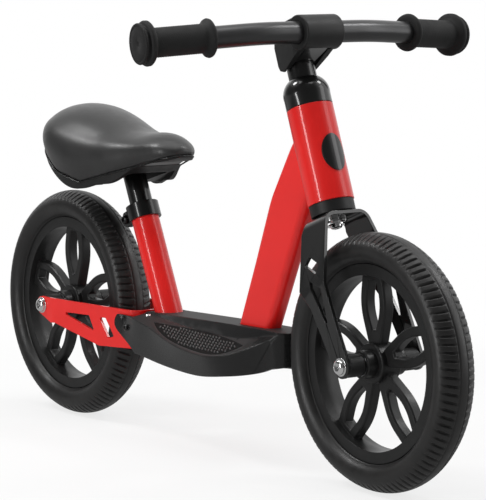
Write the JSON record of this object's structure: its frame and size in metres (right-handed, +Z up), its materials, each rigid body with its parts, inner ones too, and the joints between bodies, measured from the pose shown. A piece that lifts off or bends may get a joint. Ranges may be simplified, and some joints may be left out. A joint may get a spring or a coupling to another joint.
{
  "type": "balance bike",
  "caption": "Child's balance bike: low step-through frame with a footboard, steered fork and swept bar, moulded wheels with foam tyres, and a saddle that slides on its post.",
  "frame": {"origin": "on the ground, midway between the two axles, on the mid plane", "axes": "+X forward, +Y to the rider's left, +Z up"},
  "size_m": [0.7989, 0.4022, 0.4613],
  "materials": {
    "frame_paint": "gloss red enamel",
    "black_paint": "gloss black enamel",
    "bar_paint": "satin dark grey",
    "bright_hardware": "polished",
    "steel": "brushed",
    "board_plastic": "gloss black",
    "dark_plastic": "matte dark grey",
    "wheel_plastic": "satin black",
    "tyre_rubber": "matte charcoal",
    "grip_rubber": "matte black",
    "saddle_cover": "smooth black vinyl"
  },
  "bodies": {
    "frame": {"head_tube": "frame_paint", "head_badge": "black_paint", "main_tube": "frame_paint", "seat_tube": "frame_paint", "seat_tube_sleeve": "dark_plastic", "base_beam": "frame_paint", "rear_plate_right": "frame_paint", "rear_plate_left": "frame_paint", "yoke_bridge": "frame_paint", "footboard_shell": "board_plastic", "footboard_nose": "board_plastic", "tread_mat_left": "grip_rubber", "tread_mat_right": "grip_rubber", "footboard_screws": "bright_hardware", "cheek_screws": "black_paint", "lower_headset_cup": "dark_plastic", "upper_headset_bush": "dark_plastic", "seat_clamp": "black_paint", "seat_clamp_bolt": "black_paint", "rear_axle": "steel", "rear_axle_spacers": "dark_plastic", "rear_axle_washers": "bright_hardware", "rear_axle_bolts": "bright_hardware"},
    "steering": {"steering_column": "black_paint", "column_lock_collar": "black_paint", "headset_dome": "black_paint", "fork": "black_paint", "crown_bolts": "bright_hardware", "crown_nut": "bright_hardware", "crown_washer": "bright_hardware", "crown_stud": "bright_hardware", "stem_arm": "black_paint", "column_cap": "dark_plastic", "bar_clamp_screws": "bright_hardware", "stem_cover": "dark_plastic", "handlebar": "bar_paint", "grip_left": "grip_rubber", "grip_right": "grip_rubber", "bar_plugs": "dark_plastic", "front_axle": "steel", "front_axle_spacers": "dark_plastic", "front_axle_washers": "bright_hardware", "front_axle_bolts": "bright_hardware"},
    "front_wheel": {"front_wheel_core": "wheel_plastic", "front_tyre": "tyre_rubber", "front_hub_bearings": "steel"},
    "rear_wheel": {"rear_wheel_core": "wheel_plastic", "rear_tyre": "tyre_rubber", "rear_hub_bearings": "steel"},
    "seat": {"seat_post": "black_paint", "post_end_cap": "dark_plastic", "saddle_bracket": "black_paint", "saddle_bolts": "bright_hardware", "saddle_base": "dark_plastic", "saddle_pad": "saddle_cover"}
  },
  "joints": [
    {"name": "steering_turn", "type": "hinge", "parent": "frame", "child": "steering", "pos_m": [0.1956, 0, 0.2762], "axis": [-0.3551, 0, 0.9348], "range_deg": [-60, 60]},
    {"name": "front_wheel_roll", "type": "hinge", "parent": "steering", "child": "front_wheel", "pos_m": [0.2725, 0, 0.127], "axis": [0, 1, 0], "continuous": true},
    {"name": "rear_wheel_roll", "type": "hinge", "parent": "frame", "child": "rear_wheel", "pos_m": [-0.2725, 0, 0.127], "axis": [0, 1, 0], "continuous": true},
    {"name": "seat_height", "type": "slide", "parent": "frame", "child": "seat", "axis": [-0.4163, 0, 0.9092], "range_m": [-0.02, 0.05]}
  ]
}
